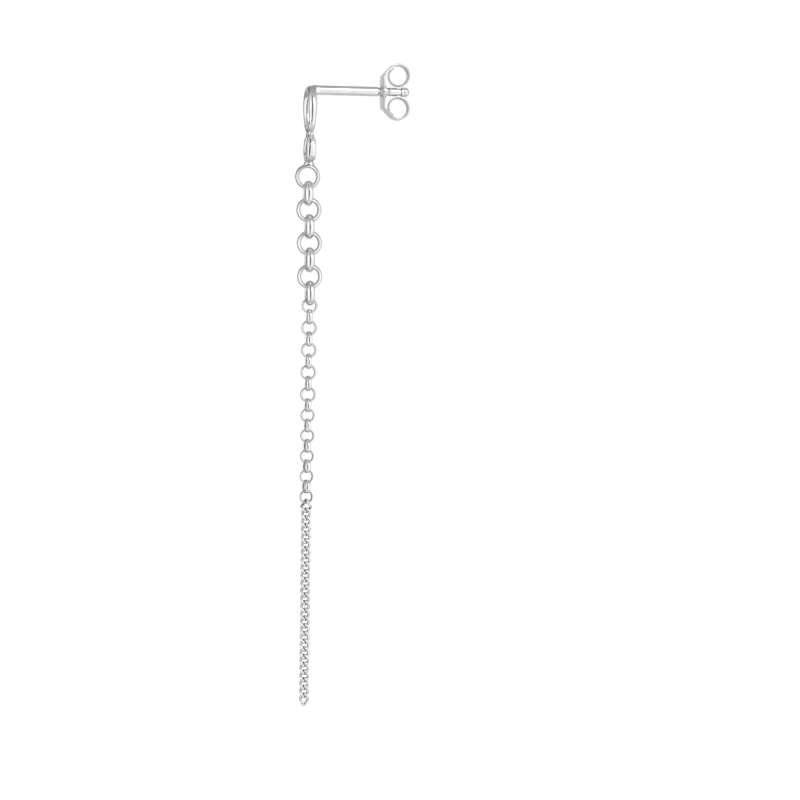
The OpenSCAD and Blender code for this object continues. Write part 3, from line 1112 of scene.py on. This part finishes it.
def sectionCorners():
    # the sheet's section has four round corners: across, off the centre line, angle
    for across, off, start in ((1, 1, 0), (-1, 1, 90), (-1, -1, 180), (1, -1, 270)):
        for angle in np.radians(np.linspace(start, start + 90, 5)):
            yield across, off, angle


def sheetSection(width, thick):
    edge = min(clutch["edge"], thick * clutch["edgeShare"])
    return [(across * (width - edge) + edge * math.cos(a), off * (thick / 2 - edge) + edge * math.sin(a))
            for across, off, a in sectionCorners()]


def sectionShadeAndDull():
    # painted shade and dullness for each corner point: a corner's part that looks more sideways than up or
    # down lies on the cut edge
    sideways = 0.7
    dull = []
    for _, off, a in sectionCorners():
        onEdge = abs(math.cos(a)) > sideways
        dull.append(clutch["edgeShadeAndDull"] if onEdge else clutch["innerShadeAndDull"] if off < 0 else 0)
    return dull


def cutFunnel(piece, front, collarEnd):
    # the hole widens to the front, and a little at the collar's rim
    clear = clutch["cutClear"]
    hole, mouth = clutch["holeRadius"], clutch["funnelRadius"]
    rim = hole + clutch["rimWiden"]
    funnel = [(0, front - clear), (mouth, front - clear), (mouth, front)]
    for a in np.radians(np.linspace(8, 90, 12)):
        depth = clutch["funnelDepth"] * (1 - math.cos(a))
        funnel.append((hole + (mouth - hole) * (1 - math.sin(a)), front + depth))
    funnel += [(hole, collarEnd - clutch["rimDepth"]), (rim, collarEnd + clutch["rimRise"]),
               (rim, collarEnd + clear), (0, collarEnd + clear)]
    cutOrJoin(piece, [lathe("funnel", funnel, clutch["funnelSides"])], "DIFFERENCE")


def makeClutch(material):
    low, high = boxOf("clutch")
    sheet = clutch["sheet"]
    front = low.y
    plateMid = front + sheet / 2
    rollY = front + clutch["rollBack"]
    rollZ = post["diameter"] / 2 + clutch["slideGap"] + sheet / 2 + clutch["rollRadius"]
    upper = stripPath(plateMid, rollY, rollZ)
    path = np.array([(y, -z) for y, z in reversed(upper[1:])] + upper)
    ways = np.gradient(path, axis=0)
    ways /= np.linalg.norm(ways, axis=1)[:, None]
    steps = np.linalg.norm(np.diff(path, axis=0), axis=1)
    lengths = np.concatenate(([0], np.cumsum(steps)))
    fromMiddle = abs(lengths - lengths[-1] / 2)
    plateHalf = (high.x - low.x) / 2
    halves = plateHalf * np.interp(fromMiddle, *zip(*clutch["widths"]))
    thicks = sheet * np.interp(fromMiddle, *zip(*clutch["sheets"]))
    rings = []
    for (y, z), (wayY, wayZ), half, thick in zip(path, ways, halves, thicks):
        section = sheetSection(half, thick)
        rings.append([(-across, y - wayZ * off, z + wayY * off) for across, off in section])
    piece = tube("scrollClutch", rings, False)
    # the cut edges and the bends' inner side take the inside colour as painted shade, and more roughness
    storeValues(piece, "inside", sectionShadeAndDull() * len(rings))

    back = front + sheet
    foot = back - clutch["collarSunk"]
    collarEnd = back + clutch["collarLength"]
    radius = clutch["collarRadius"]
    soft = clutch["collarSoft"]
    outline = [(0, foot), (radius + soft, foot)]
    outline += arc((radius + soft, back + soft), soft, 180, 270, 6)
    outline += arc((radius - soft, collarEnd - soft), soft, 90, 0, 6)
    outline.append((0, collarEnd))
    cutOrJoin(piece, [lathe("collar", outline, clutch["collarSides"])], "UNION")
    cutFunnel(piece, front, collarEnd)
    finishPiece(piece, material, clutchBody, ["clutch"])


waistSpot = {"at": (0, loopsY, waistZ), **solder["waistSpot"]}
collarMiddle = (0, loopsY - solder["spotFront"], lowerEndZ - solder["spotDrop"])
collarSpot = {"at": collarMiddle, **solder["collarSpot"]}
makeStud(makeSilver("polishedSilver", [waistSpot, collarSpot]))
chainSilver = makeSilver("chainSilver")
linkTree = makeLinkTree()
kinds = ("large", "medium", "small")
roundCount = sum(len(nodesNamed(f"{kind}_link_")) for kind in kinds)
nextPlace = 1
for kind in kinds:
    nextPlace = makeLinkRow(linkTree, kind, nextPlace, roundCount, chainSilver)
makeCurbChain(makeSilver("curbSilver"))
makeClutch(makeSilver("sheetSilver"))
print("all pieces made")

bpy.context.view_layer.update()
